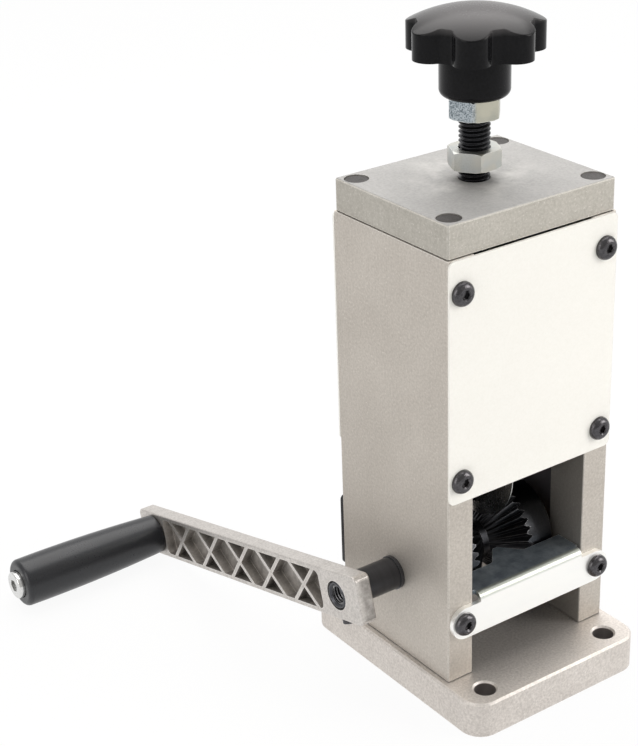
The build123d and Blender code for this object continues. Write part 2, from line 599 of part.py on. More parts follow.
def drive_shaft():
    inner_length = SHAFT_END_X - ARM_INNER_X
    shaft = Pos(ARM_INNER_X, 0, 0) * TO_RIGHT * Cylinder(SHAFT_DIAMETER / 2, inner_length, align=UP)
    shaft = chamfer(shaft.edges().filter_by(GeomType.CIRCLE), SHAFT_CHAMFER)
    collar_x = -OUTER_X - AIR_GAP
    shaft += Pos(collar_x, 0, 0) * TO_LEFT * Cylinder(SHAFT_COLLAR_DIAMETER / 2, SHAFT_COLLAR_WIDTH, align=UP)
    nose = Cylinder(SHAFT_NOSE_DIAMETER / 2, ARM_THICKNESS, align=UP)
    nose = chamfer(nose.edges().group_by(Axis.Z)[-1], SHAFT_NOSE_CHAMFER)
    shaft += Pos(ARM_INNER_X, 0, 0) * TO_LEFT * nose
    mouth = Pos(ARM_OUTER_X, 0, 0) * TO_RIGHT
    shaft -= mouth * Cylinder(DRIVE_HOLE_DIAMETER / 2, DRIVE_HOLE_DEPTH, align=UP)
    shaft -= mouth * Cone(
        DRIVE_HOLE_DIAMETER / 2 + DRIVE_HOLE_CHAMFER, DRIVE_HOLE_DIAMETER / 2, DRIVE_HOLE_CHAMFER, align=UP
    )
    shaft = Pos(0, 0, SHAFT_HEIGHT) * shaft
    return shaft - key_spot() * key_box(SEAT_FIT)


def drive_roller():
    """Turned steel roller with a V-groove for the cable."""
    outer = ROLLER_DIAMETER / 2
    bore = SHAFT_DIAMETER / 2 + SEAT_FIT
    right_half = [
        (0, GROOVE_FLOOR_DIAMETER / 2),
        (GROOVE_FLOOR_WIDTH / 2, GROOVE_FLOOR_DIAMETER / 2),
        (GROOVE_WIDTH / 2, outer),
        (ROLLER_END_X - ROLLER_CHAMFER, outer),
        (ROLLER_END_X, outer - ROLLER_CHAMFER),
        (ROLLER_END_X, bore),
    ]
    left_half = [(-x, r) for x, r in reversed(right_half[1:])]
    section = make_face(Plane.XZ * Polyline(*right_half, *left_half, close=True))
    roller = Pos(0, 0, SHAFT_HEIGHT) * revolve(section, Axis.X)
    roller -= key_spot() * key_box(SEAT_FIT)
    return roller - roller_grub_spot() * tapped_hole(GRUB_SCREW_DIAMETER, ROLLER_DIAMETER / 2 - SHAFT_DIAMETER / 2)


# ---------------------------------------------------------------- crank


def crank_arm():
    length = ARM_NEAR_END + CRANK_RADIUS + ARM_FAR_END
    half = ARM_HEIGHT / 2
    outline = Pos(-ARM_NEAR_END, 0) * Rectangle(length, ARM_HEIGHT, align=(Align.MIN, Align.CENTER))
    corners = outline.vertices()
    far_lower = corners.sort_by(Axis.X)[-2:].sort_by(Axis.Y)[0]
    others = [v for v in corners if v != far_lower]
    outline = fillet(others, ARM_CORNER_RADIUS)
    far_lower = outline.vertices().sort_by_distance((CRANK_RADIUS + ARM_FAR_END, -half, 0))[0]
    outline = fillet(far_lower, ARM_FAR_LOWER_RADIUS)
    arm = extrude(outline, ARM_THICKNESS)
    arm = fillet(arm.edges().group_by(Axis.Z)[0] + arm.edges().group_by(Axis.Z)[-1], ARM_EDGE_RADIUS)
    pocket_length = CRANK_RADIUS - POCKET_FROM_HANDLE - POCKET_FROM_SHAFT
    pocket = Pos(POCKET_FROM_SHAFT + pocket_length / 2, 0) * RectangleRounded(
        pocket_length, ARM_HEIGHT - 2 * POCKET_WALL, POCKET_CORNER_RADIUS
    )
    rib_angle = degrees(atan2(half - POCKET_WALL, RIB_HALF_SPAN))
    rib = Rectangle(2 * ARM_HEIGHT, RIB_WIDTH)
    for i in range(RIB_COUNT):
        centre = Pos(RIB_FIRST + i * RIB_PITCH, 0)
        pocket -= centre * Rot(0, 0, rib_angle) * rib
        pocket -= centre * Rot(0, 0, -rib_angle) * rib
    arm -= extrude(pocket, POCKET_DEPTH)
    arm -= Cylinder(SHAFT_NOSE_DIAMETER / 2 + SEAT_FIT, ARM_THICKNESS, align=UP)
    arm -= Pos(CRANK_RADIUS, 0, 0) * Cylinder(HANDLE_BOLT_DIAMETER / 2 + THREAD_FIT, ARM_THICKNESS, align=UP)
    arm -= arm_grub_spot() * tapped_hole(GRUB_SCREW_DIAMETER, ARM_HEIGHT / 2)
    return ARM_PLANE.location * arm


def arm_grub_spot():
    """Under the arm, in the arm's plane, pointing at the shaft."""
    return Pos(0, -ARM_HEIGHT / 2, ARM_THICKNESS / 2) * TO_FRONT


def arm_set_screw():
    reach = ARM_HEIGHT / 2 - SHAFT_NOSE_DIAMETER / 2 - 2 * SEAT_FIT
    screw = Pos(0, 0, ARM_SCREW_STAND_OUT) * grub_screw(reach + ARM_SCREW_STAND_OUT)
    return ARM_PLANE.location * arm_grub_spot() * screw


def grip_spot():
    """On the arm's outer face at the handle, +Z out along the grip."""
    return ARM_PLANE.location * Pos(CRANK_RADIUS, 0, 0) * UPSIDE_DOWN


def handle_grip():
    """Slightly barrelled plastic grip, bored for the sleeve."""
    near = Vector(GRIP_ARM_END_DIAMETER / 2, 0, AIR_GAP)
    belly = Vector(GRIP_BELLY_DIAMETER / 2, 0, GRIP_LENGTH * GRIP_BELLY_SHARE)
    end = Vector(GRIP_END_DIAMETER / 2, 0, GRIP_LENGTH)
    side = ThreePointArc(near, belly, end)
    rest = Polyline(end, (0, 0, GRIP_LENGTH), (0, 0, AIR_GAP), near)
    grip = revolve(make_face(side + rest), Axis.Z)
    grip = fillet(grip.edges().group_by(Axis.Z)[-1], GRIP_EDGE_RADIUS)
    grip = chamfer(grip.edges().group_by(Axis.Z)[0], HEAD_EDGE_CHAMFER)
    grip -= Cylinder(GRIP_SLEEVE_DIAMETER / 2 + RUNNING_FIT, GRIP_LENGTH, align=UP)
    recess = Cylinder(HANDLE_HEAD_DIAMETER / 2 + AIR_GAP, HANDLE_HEAD_RECESS + AIR_GAP, align=DOWN)
    return grip_spot() * (grip - Pos(0, 0, GRIP_LENGTH) * recess)


def grip_sleeve():
    length = GRIP_LENGTH - HANDLE_HEAD_RECESS
    sleeve = Cylinder(GRIP_SLEEVE_DIAMETER / 2, length, align=UP)
    return grip_spot() * (sleeve - Cylinder(HANDLE_BOLT_DIAMETER / 2 + SEAT_FIT, length, align=UP))


def handle_bolt():
    """Bright low-head bolt through the sleeve, screwed into the arm."""
    head_seat = GRIP_LENGTH - HANDLE_HEAD_RECESS
    head = Cylinder(HANDLE_HEAD_DIAMETER / 2, HANDLE_HEAD_HEIGHT, align=UP)
    head = fillet(head.edges().group_by(Axis.Z)[-1], HANDLE_HEAD_ROUNDING)
    head -= Pos(0, 0, HANDLE_HEAD_HEIGHT) * hex_socket(HANDLE_SOCKET, HANDLE_SOCKET_DEPTH)
    length = head_seat + ARM_THICKNESS + HANDLE_NUT_THICKNESS + HANDLE_BOLT_STAND_OUT
    shank = Cylinder(HANDLE_BOLT_DIAMETER / 2, length, align=DOWN)
    return grip_spot() * Pos(0, 0, head_seat) * (head + shank)


def handle_nut():
    nut = hex_nut(HANDLE_NUT_ACROSS_FLATS, HANDLE_NUT_THICKNESS, HANDLE_BOLT_DIAMETER + 2 * THREAD_FIT)
    return ARM_PLANE.location * Pos(CRANK_RADIUS, 0, ARM_THICKNESS) * nut


# ---------------------------------------------------------------- blade and carrier


def blade_disc():
    """Round blade, bevelled from both sides to its edge."""
    rim = BLADE_DIAMETER / 2
    section = Polyline(
        (-BLADE_THICKNESS / 2, BLADE_BORE / 2 + SEAT_FIT),
        (-BLADE_THICKNESS / 2, rim - BLADE_BEVEL),
        (-BLADE_EDGE_WIDTH / 2, rim),
        (BLADE_EDGE_WIDTH / 2, rim),
        (BLADE_THICKNESS / 2, rim - BLADE_BEVEL),
        (BLADE_THICKNESS / 2, BLADE_BORE / 2 + SEAT_FIT),
        close=True,
    )
    return Pos(0, 0, BLADE_LEVEL) * revolve(make_face(Plane.XZ * section), Axis.X)


def blade_bush():
    tube = Cylinder(BLADE_BORE / 2, BLADE_BUSH_LENGTH)
    tube -= Cylinder(BLADE_AXLE_DIAMETER / 2 + RUNNING_FIT, BLADE_BUSH_LENGTH)
    return Pos(0, 0, BLADE_LEVEL) * TO_RIGHT * tube


def blade_spacers():
    start = BLADE_BUSH_LENGTH / 2 + SLIDE_GAP
    end = CHEEK_INNER_X - SLIDE_GAP / 2
    tube = Cylinder(BLADE_SPACER_DIAMETER / 2, end - start)
    tube -= Cylinder(BLADE_AXLE_DIAMETER / 2 + SEAT_FIT, end - start)
    return Compound([Pos(i * (start + end) / 2, 0, BLADE_LEVEL) * TO_RIGHT * tube for i in (-1, 1)])


def blade_axle():
    axle = Cylinder(BLADE_AXLE_DIAMETER / 2, 2 * (CARRIER_HALF_WIDTH - SLIDE_GAP))
    axle = chamfer(axle.edges().filter_by(GeomType.CIRCLE), SHAFT_CHAMFER)
    return Pos(0, 0, BLADE_LEVEL) * TO_RIGHT * axle


def axle_grub_spot():
    """In the front of the left cheek, pointing at the axle."""
    return Pos(-(CARRIER_HALF_WIDTH + CHEEK_INNER_X) / 2, -CARRIER_HALF_DEPTH, BLADE_LEVEL) * TO_FRONT


def blade_carrier():
    """Inverted U that slides in the channels: a bar on top and a cheek at each side."""
    height = CARRIER_TOP - CARRIER_BOTTOM
    block = Pos(0, 0, CARRIER_BOTTOM) * Box(2 * CARRIER_HALF_WIDTH, 2 * CARRIER_HALF_DEPTH, height, align=UP)
    block = chamfer(block.edges().filter_by(Axis.Z), CARRIER_CHAMFER)
    gap_height = CARRIER_BAR_BOTTOM - CARRIER_BOTTOM
    block -= Pos(0, 0, CARRIER_BOTTOM) * Box(2 * CHEEK_INNER_X, BODY_DEPTH, gap_height, align=UP)
    block -= Pos(0, 0, BLADE_LEVEL) * TO_RIGHT * Cylinder(BLADE_AXLE_DIAMETER / 2 + SEAT_FIT, BODY_WIDTH)
    block -= axle_grub_spot() * tapped_hole(GRUB_SCREW_DIAMETER, CARRIER_HALF_DEPTH - BLADE_AXLE_DIAMETER / 2)
    foot_hole = Cylinder(STUD_FOOT_DIAMETER / 2 + AIR_GAP, STUD_FOOT_HEIGHT + AIR_GAP, align=DOWN)
    block -= Pos(0, 0, CARRIER_TOP) * foot_hole
    screw_hole = tapped_hole(SMALL_SCREW_DIAMETER, SMALL_SCREW_LENGTH - KEEPER_THICKNESS)
    return block - [spot * screw_hole for spot in keeper_spots()]


def axle_set_screw():
    reach = CARRIER_HALF_DEPTH - BLADE_AXLE_DIAMETER / 2 - 2 * SEAT_FIT
    return axle_grub_spot() * grub_screw(reach)


def stud_keeper():
    """Forked plate that holds the stud's neck on the carrier."""
    plate = Box(KEEPER_LENGTH, KEEPER_DEPTH, KEEPER_THICKNESS, align=UP)
    neck_half = STUD_NECK_DIAMETER / 2 + AIR_GAP
    plate -= Cylinder(neck_half, KEEPER_THICKNESS, align=UP)
    plate -= Box(2 * neck_half, KEEPER_DEPTH, KEEPER_THICKNESS, align=(Align.CENTER, Align.MIN, Align.MIN))
    plate = Pos(0, 0, CARRIER_TOP) * plate
    clear = Cylinder(SMALL_SCREW_DIAMETER / 2 + AIR_GAP, 4 * KEEPER_THICKNESS)
    return plate - [spot * clear for spot in keeper_spots()]


# ---------------------------------------------------------------- adjusting screw


def adjusting_stud():
    """Threaded stud with a neck and a foot that turn in the carrier."""
    foot_top = CARRIER_TOP - AIR_GAP / 2
    neck_top = CARRIER_TOP + KEEPER_THICKNESS + AIR_GAP / 2
    top = KNOB_BOTTOM + KNOB_INSERT_HEIGHT - AIR_GAP
    outer = STUD_DIAMETER / 2
    root = outer - STUD_THREAD_DEPTH
    points = [
        (0, foot_top - STUD_FOOT_HEIGHT + AIR_GAP),
        (STUD_FOOT_DIAMETER / 2, foot_top - STUD_FOOT_HEIGHT + AIR_GAP),
        (STUD_FOOT_DIAMETER / 2, foot_top),
        (STUD_NECK_DIAMETER / 2, foot_top),
        (STUD_NECK_DIAMETER / 2, neck_top),
        (root, neck_top),
    ]
    crest = STUD_PITCH / 8
    turns = int((top - neck_top - STUD_PITCH) / STUD_PITCH)
    for i in range(turns):
        z = neck_top + (i + 0.5) * STUD_PITCH
        points += [(outer, z - crest / 2), (outer, z + crest / 2), (root, z + STUD_PITCH / 2)]
    points += [(root, top), (0, top)]
    return revolve(make_face(Plane.XZ * Polyline(*points, close=True)), Axis.Z)


def stud_nut(thickness):
    return hex_nut(NUT_ACROSS_FLATS, thickness, STUD_DIAMETER + 2 * THREAD_FIT)


def lock_nut():
    return Pos(0, 0, LOCK_NUT_BOTTOM) * Rot(0, 0, LOCK_NUT_TURN) * stud_nut(NUT_THICKNESS)


def knob_jam_nut():
    return Pos(0, 0, KNOB_NUT_BOTTOM) * Rot(0, 0, KNOB_NUT_TURN) * stud_nut(KNOB_NUT_THICKNESS)


def knob_insert():
    insert = Cylinder(KNOB_INSERT_DIAMETER / 2, KNOB_INSERT_HEIGHT, align=UP)
    insert -= Cylinder(STUD_DIAMETER / 2 + THREAD_FIT, KNOB_INSERT_HEIGHT, align=UP)
    return Pos(0, 0, KNOB_BOTTOM) * insert


def knob():
    """Moulded star knob: round hub below, rim of round lobes, dome on top."""
    radius = KNOB_DIAMETER / 2
    star = Circle(KNOB_CORE_DIAMETER / 2)
    for i in range(KNOB_LOBES):
        star += Rot(0, 0, 360 / KNOB_LOBES * i) * Pos(0, KNOB_LOBE_RADIUS - radius) * Circle(KNOB_LOBE_RADIUS)
    star = fillet(star.vertices(), KNOB_CREASE_RADIUS)
    rim = Pos(0, 0, KNOB_RIM_BOTTOM) * extrude(star, KNOB_RIM_HEIGHT + KNOB_DOME_RISE)
    dome_radius = (radius**2 + KNOB_DOME_RISE**2) / (2 * KNOB_DOME_RISE)
    rim &= Pos(0, 0, KNOB_RIM_TOP + KNOB_DOME_RISE - dome_radius) * Sphere(dome_radius)
    upper_edges = rim.edges().filter_by_position(Axis.Z, KNOB_RIM_TOP - KNOB_EDGE_RADIUS, CAP_TOP + BODY_WIDTH)
    rim = fillet(upper_edges, KNOB_EDGE_RADIUS)
    hub = Pos(0, 0, KNOB_BOTTOM) * Cylinder(KNOB_HUB_DIAMETER / 2, KNOB_HUB_HEIGHT + CUT_PAST, align=UP)
    hub = fillet(hub.edges().group_by(Axis.Z)[0], KNOB_HUB_ROUNDING)
    body = Rot(0, 0, KNOB_TURN) * (rim + hub)
    seat = Cylinder(KNOB_INSERT_DIAMETER / 2 + SEAT_FIT, KNOB_INSERT_HEIGHT, align=UP)
    return body - Pos(0, 0, KNOB_BOTTOM) * seat


# ---------------------------------------------------------------- assembly

BUTTON_SCREW = button_screw()
CAP_SCREW = socket_screw(
    CAP_SCREW_DIAMETER, CAP_SCREW_LENGTH, CAP_HEAD_DIAMETER, CAP_HEAD_HEIGHT, CAP_SOCKET, CAP_SOCKET_DEPTH
)
BASE_SCREW = socket_screw(
    BASE_SCREW_DIAMETER, BASE_SCREW_LENGTH, BASE_HEAD_DIAMETER, BASE_HEAD_HEIGHT, BASE_SOCKET, BASE_SOCKET_DEPTH
)
KEEPER_SCREW = socket_screw(
    SMALL_SCREW_DIAMETER, SMALL_SCREW_LENGTH, SMALL_HEAD_DIAMETER, SMALL_HEAD_HEIGHT, SMALL_SOCKET, SMALL_HEAD_HEIGHT / 2
)

PIECES = {
    "base_plate": base_plate(),
    "left_side_plate": left_side_plate(),
    "right_side_plate": right_side_plate(),
    "top_cap": top_cap(),
    "front_cover": cover(FRONT_Y, -1, front_cover_spots()),
    "rear_cover": cover(BACK_Y, 1, rear_cover_spots()),
    "outfeed_chute": outfeed_chute(),
    "infeed_plate": infeed_plate(),
    "front_cover_screws": screws_through(front_cover_spots(), BUTTON_SCREW, COVER_THICKNESS),
    "rear_cover_screws": screws_through(rear_cover_spots(), BUTTON_SCREW, COVER_THICKNESS),
    "chute_screws": screws_through(chute_spots(), BUTTON_SCREW, CHUTE_THICKNESS),
    "infeed_screws": screws_through(infeed_spots(), BUTTON_SCREW, INFEED_THICKNESS),
    "cap_screws": screws_through(cap_screw_spots(), CAP_SCREW, cap_grip()),
    "cap_screw_plugs": cap_screw_plugs(),
    "base_screws": screws_through(base_screw_spots(), BASE_SCREW, base_grip()),
    "left_shaft_bush": mirror(bush(), Plane.YZ),
    "right_shaft_bush": bush(),
    "thrust_washers": thrust_washers(),
    "drive_shaft": drive_shaft(),
    "drive_roller": drive_roller(),
    "roller_key": key_spot() * key_box(0),
    "roller_set_screw": roller_grub_spot() * Pos(0, 0, -AIR_GAP) * grub_screw(roller_grub_length()),
    "crank_arm": crank_arm(),
    "arm_set_screw": arm_set_screw(),
    "grip_sleeve": grip_sleeve(),
    "handle_grip": handle_grip(),
    "handle_bolt": handle_bolt(),
    "handle_nut": handle_nut(),
    "blade_disc": blade_disc(),
    "blade_bush": blade_bush(),
    "blade_spacers": blade_spacers(),
    "blade_axle": blade_axle(),
    "blade_carrier": blade_carrier(),
    "axle_set_screw": axle_set_screw(),
    "stud_keeper": stud_keeper(),
    "keeper_screws": screws_through(keeper_spots(), KEEPER_SCREW, KEEPER_THICKNESS),
    "adjusting_stud": adjusting_stud(),
    "lock_nut": lock_nut(),
    "knob_jam_nut": knob_jam_nut(),
    "knob_insert": knob_insert(),
    "knob": knob(),
}

os.makedirs("parts", exist_ok=True)
for name, piece in PIECES.items():
    export_step(piece, f"parts/{name}.step")
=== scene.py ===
import math

import bmesh
import bpy
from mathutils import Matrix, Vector


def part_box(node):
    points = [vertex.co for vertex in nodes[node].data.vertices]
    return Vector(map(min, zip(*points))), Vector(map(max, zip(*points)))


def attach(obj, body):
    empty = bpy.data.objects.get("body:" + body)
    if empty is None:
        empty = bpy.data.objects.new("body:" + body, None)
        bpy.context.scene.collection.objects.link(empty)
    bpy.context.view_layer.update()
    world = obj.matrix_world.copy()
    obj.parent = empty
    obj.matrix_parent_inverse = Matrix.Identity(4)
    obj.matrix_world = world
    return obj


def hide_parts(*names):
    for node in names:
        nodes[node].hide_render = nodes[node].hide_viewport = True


# Hand crank wire stripper: a blasted aluminium body on a base plate, a grooved roller turned by a
# crank, and a round blade set by the star knob on top. Metres, +Z up, the crank is on the -X side.
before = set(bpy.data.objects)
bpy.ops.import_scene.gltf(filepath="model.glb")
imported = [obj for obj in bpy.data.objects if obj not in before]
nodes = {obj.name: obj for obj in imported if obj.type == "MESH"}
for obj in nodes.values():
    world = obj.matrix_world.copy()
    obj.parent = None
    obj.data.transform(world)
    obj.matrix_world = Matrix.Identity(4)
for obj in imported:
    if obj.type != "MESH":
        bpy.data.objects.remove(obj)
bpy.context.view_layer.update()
scene = bpy.context.scene
scene.view_settings.view_transform = "Standard"


# ---------------------------------------------------------------- camera, table and studio light
# The camera stands in front of the crank side's corner and looks down on the tool.
# The table is a plain white sheet; a large softbox hangs behind the tool, with others at both sides.
camera_data = bpy.data.cameras.new("camera")
camera_data.lens = 85.602
camera_data.sensor_width = 36.0
camera_data.clip_end = 20.0
camera_place = (-0.399523, -0.477437, 0.421213)
camera_turn = (64.5251, 1.8844, -35.3121)
camera = bpy.data.objects.new("camera", camera_data)
camera.location = camera_place
camera.rotation_euler = [math.radians(angle) for angle in camera_turn]
scene.collection.objects.link(camera)
scene.camera = camera


def node(tree, kind, inputs, **settings):
    """Adds a shader node; an input is either a value or the socket that feeds it."""
    made = tree.nodes.new("ShaderNode" + kind)
    for name, value in settings.items():
        setattr(made, name, value)
    for label, value in inputs.items():
        if isinstance(value, bpy.types.NodeSocket):
            tree.links.new(value, made.inputs[label])
        else:
            made.inputs[label].default_value = value
    return made


def maths(tree, operation, first, second):
    return node(tree, "Math", {0: first, 1: second}, operation=operation).outputs[0]


def spread(tree, value, low, high, to_low=0.0, to_high=1.0):
    """Maps low..high to to_low..to_high and holds it there."""
    ends = {"From Min": low, "From Max": high, "To Min": to_low, "To Max": to_high}
    return node(tree, "MapRange", {"Value": value, **ends}).outputs[0]


def seen_directly(tree, mirrored):
    """1 for rays from the camera, a share for what glossy surfaces reflect, 0 for the light itself."""
    path = node(tree, "LightPath", {}).outputs
    glossy = maths(tree, "MULTIPLY", path["Is Glossy Ray"], mirrored)
    either = maths(tree, "MAXIMUM", path["Is Camera Ray"], path["Is Transmission Ray"])
    return maths(tree, "MAXIMUM", either, glossy)


def soft_lamp(name, place, aim, size, watts, colour):
    data = bpy.data.lights.new(name, "AREA")
    data.shape = "RECTANGLE"
    data.size, data.size_y = size
    data.energy = watts
    data.color = colour
    lamp = bpy.data.objects.new(name, data)
    lamp.location = place
    lamp.rotation_euler = (Vector(aim) - Vector(place)).to_track_quat("-Z", "Y").to_euler()
    scene.collection.objects.link(lamp)


middle = (0.0, 0.0, 0.1)
warm_white, warmer_white = (1.0, 0.985, 0.97), (1.0, 0.98, 0.955)
soft_lamp("overhead_softbox", (0.2, 0.45, 1.25), middle, (1.5, 1.4), 13.5, warm_white)
soft_lamp("right_softbox", (1.25, -1.15, 0.75), middle, (0.9, 1.2), 17.0, warmer_white)
soft_lamp("left_softbox", (-1.6, -0.1, 0.7), middle, (0.9, 1.2), 7.0, warm_white)

# What glossy surfaces reflect from behind the tool is the white backdrop; the rest is a dimmer room
world = bpy.data.worlds.new("studio")
world.use_nodes = True
sky = world.node_tree
sky.nodes.clear()
room = node(sky, "Background", {"Color": (1.0, 0.985, 0.965, 1.0), "Strength": 0.55})
white = node(sky, "Background", {"Color": (1.0, 1.0, 1.0, 1.0), "Strength": 1.0})
direction = node(sky, "TexCoord", {}).outputs["Generated"]
behind_the_tool = (0.58, 0.69, 0.42)
facing = node(sky, "VectorMath", {0: direction, 1: behind_the_tool}, operation="DOT_PRODUCT")
reflected = spread(sky, facing.outputs["Value"], -0.3, 0.7, 0.0, 0.85)
blend = node(sky, "MixShader", {0: seen_directly(sky, reflected), 1: room.outputs[0], 2: white.outputs[0]})
node(sky, "OutputWorld", {"Surface": blend.outputs[0]})
scene.world = world

table_reach = 4.0
corners = [(x * table_reach, y * table_reach, 0) for x, y in ((-1, -1), (1, -1), (1, 1), (-1, 1))]
table_mesh = bpy.data.meshes.new("table_top")
table_mesh.from_pydata(corners, [], [(0, 1, 2, 3)])
table = bpy.data.objects.new("table_top", table_mesh)
scene.collection.objects.link(table)

# The paper shows white to the camera and in reflections, with a trace of the tool's soft shadow
paper = bpy.data.materials.new("white_paper")
paper.use_nodes = True
tree = paper.node_tree
tree.nodes.clear()
lit = node(tree, "BsdfDiffuse", {"Color": (0.86, 0.86, 0.86, 1.0)})
glow = node(tree, "Emission", {"Color": (1.0, 1.0, 1.0, 1.0), "Strength": 1.0})
glow_share = maths(tree, "MULTIPLY", seen_directly(tree, 1.0), 0.93)
blend = node(tree, "MixShader", {0: glow_share, 1: lit.outputs[0], 2: glow.outputs[0]})
node(tree, "OutputMaterial", {"Surface": blend.outputs[0]})
table_mesh.materials.append(paper)


# ---------------------------------------------------------------- base plate and side plates
# Aluminium plates, sawn, milled on the edges and blasted to an even matt grain. The base plate
# carries the two side plates on screws from below, and has four holes for bolting it down.
def effect(name, inputs, outputs):
    """A shader node group with float or vector inputs and named outputs."""
    tree = bpy.data.node_groups.new(name, "ShaderNodeTree")
    for label, value in inputs.items():
        kind = "NodeSocketFloat" if isinstance(value, float) else "NodeSocketVector"
        tree.interface.new_socket(label, in_out="INPUT", socket_type=kind).default_value = value
    for label in outputs:
        tree.interface.new_socket(label, in_out="OUTPUT", socket_type="NodeSocketFloat")
    return tree, tree.nodes.new("NodeGroupInput").outputs, tree.nodes.new("NodeGroupOutput").inputs


def noise(tree, vector, scale, detail=2.0, roughness=0.5):
    inputs = {"Vector": vector, "Scale": scale, "Detail": detail, "Roughness": roughness}
    return node(tree, "TexNoise", inputs).outputs["Fac"]


def on_piece(tree):
    """The position on the piece, in metres."""
    return node(tree, "TexCoord", {}).outputs["Object"]


def stretched(tree, vector, factors):
    return node(tree, "VectorMath", {0: vector, 1: factors}, operation="MULTIPLY").outputs[0]


def apart(tree, vector):
    """The vector's three coordinates."""
    return node(tree, "SeparateXYZ", {0: vector}).outputs


def either_side(tree, value):
    """The same value on both sides of zero."""
    return node(tree, "Math", {0: value}, operation="ABSOLUTE").outputs[0]


def off_axis(tree, first, second):
    """The distance from an axis, from the two coordinates across it."""
    first_square = maths(tree, "MULTIPLY", first, first)
    second_square = maths(tree, "MULTIPLY", second, second)
    both = maths(tree, "ADD", first_square, second_square)
    return node(tree, "Math", {0: both}, operation="SQRT").outputs[0]


def below(tree, value, level):
    """1 where a coordinate lies below a level, with a soft step a tenth of a millimetre wide."""
    return spread(tree, value, level - 0.00005, level + 0.00005, 1.0, 0.0)


# Edges, for bare metal and for the plugs' painted rim shade: the angle between the surface and the
# same surface with its edges rounded
edge_wear_and_shade, given, gives = effect("edge_wear_and_shade", {"Width": 0.0006, "Raggedness": 0.3}, ["Mask"])
rounded = node(edge_wear_and_shade, "Bevel", {"Radius": given["Width"]}, samples=4).outputs[0]
flat = node(edge_wear_and_shade, "NewGeometry", {}).outputs["Normal"]
lean = node(edge_wear_and_shade, "VectorMath", {0: rounded, 1: flat}, operation="DOT_PRODUCT").outputs["Value"]
hardly_bent, well_bent = 0.985, 0.80
bend = spread(edge_wear_and_shade, lean, hardly_bent, well_bent)
ragged = maths(edge_wear_and_shade, "MULTIPLY", noise(edge_wear_and_shade, on_piece(edge_wear_and_shade), 700.0), given["Raggedness"])
edge_share = node(edge_wear_and_shade, "Math", {0: bend, 1: ragged}, operation="SUBTRACT", use_clamp=True).outputs[0]
edge_wear_and_shade.links.new(edge_share, gives["Mask"])

# Blasted or cast skin: an even fine grain with softer clouds, whose sizes are given in metres
blasted_skin, given, gives = effect("blasted_skin", {"Grain": 0.0004, "Cloud": 0.02}, ["Tone", "Height"])
place = on_piece(blasted_skin)
fine = noise(blasted_skin, place, maths(blasted_skin, "DIVIDE", 1.0, given["Grain"]), 3.0, 0.6)
cloud = noise(blasted_skin, place, maths(blasted_skin, "DIVIDE", 1.0, given["Cloud"]), 2.0)
fine_share, cloud_share = 0.75, 0.25
fine_part = maths(blasted_skin, "MULTIPLY", fine, fine_share)
both = maths(blasted_skin, "ADD", fine_part, maths(blasted_skin, "MULTIPLY", cloud, cloud_share))
blasted_skin.links.new(spread(blasted_skin, both, 0.33, 0.67), gives["Tone"])
blasted_skin.links.new(fine, gives["Height"])


def put(tree, group, inputs):
    return node(tree, "Group", inputs, node_tree=group).outputs


def mixed(tree, share, first, second):
    """One colour at share 0, the other at share 1."""
    return node(tree, "Mix", {0: share, 6: first, 7: second}, data_type="RGBA").outputs[2]


def start_material(name, metallic, **extra):
    """A material with its Principled shader; values that are the same all over go on its own sockets."""
    material = bpy.data.materials.new(name)
    material.use_nodes = True
    shader = material.node_tree.nodes["Principled BSDF"]
    shader.inputs["Metallic"].default_value = metallic
    for label, value in extra.items():
        shader.inputs[label.replace("_", " ")].default_value = value
    return material, material.node_tree, shader


def wire(tree, shader, colour, roughness, height=None, depth=0.0001, strength=0.5):
    """Feeds the shader; height times depth is the relief in metres."""
    tree.links.new(colour, shader.inputs["Base Color"])
    tree.links.new(roughness, shader.inputs["Roughness"])
    if height is not None:
        bump = node(tree, "Bump", {"Height": height, "Distance": depth, "Strength": strength})
        tree.links.new(bump.outputs[0], shader.inputs["Normal"])


def dress(material, *names):
    """Gives a finish to CAD nodes that keep their shape."""
    for name in names:
        nodes[name].data.materials.clear()
        nodes[name].data.materials.append(material)


def aluminium_stock(name, dark, light, bare_and_rim_shade):
    """Blasted aluminium with faint upright mill lines, specks and edges rubbed bare."""
    material, tree, shader = start_material(name, 0.85)
    skin = put(tree, blasted_skin, {"Grain": 0.0010, "Cloud": 0.02})
    edge = put(tree, edge_wear_and_shade, {"Width": 0.0007, "Raggedness": 0.35})
    place = on_piece(tree)
    upright = stretched(tree, place, (900.0, 900.0, 14.0))
    lines = spread(tree, noise(tree, upright, 1.0, 2.0, 0.6), 0.3, 0.7)
    speck = spread(tree, noise(tree, place, 1300.0, 2.0, 0.6), 0.60, 0.72)
    line_share = 0.08
    grain = maths(tree, "MULTIPLY", skin["Tone"], 1.0 - line_share)
    tone = maths(tree, "ADD", grain, maths(tree, "MULTIPLY", lines, line_share))
    colour = mixed(tree, tone, dark, light)
    colour = mixed(tree, maths(tree, "MULTIPLY", speck, 0.35), colour, bare_and_rim_shade)
    colour = mixed(tree, edge["Mask"], colour, bare_and_rim_shade)
    rough = spread(tree, tone, 0, 1, 0.60, 0.54)
    return material, tree, shader, colour, rough, tone, apart(tree, place)


# The base plate's four bores are painted dark inside, as shade
bore_x, bore_y, bore_radius, bore_chamfer_foot = 0.031, 0.045, 0.0043, 0.0143
blasted_base, tree, shader, colour, rough, tone, at = aluminium_stock(
    "blasted_base", dark=(0.54, 0.502, 0.469, 1), light=(0.76, 0.716, 0.673, 1), bare_and_rim_shade=(0.93, 0.90, 0.86, 1)
)
across = maths(tree, "SUBTRACT", either_side(tree, at["X"]), bore_x)
along = maths(tree, "SUBTRACT", either_side(tree, at["Y"]), bore_y)
in_bore = below(tree, off_axis(tree, across, along), bore_radius)
painted_bore_shade = maths(tree, "MULTIPLY", in_bore, below(tree, at["Z"], bore_chamfer_foot))
colour = mixed(tree, painted_bore_shade, colour, (0.24, 0.215, 0.205, 1))
wire(tree, shader, colour, rough, tone, 0.00005, 0.6)
dress(blasted_base, "base_plate")
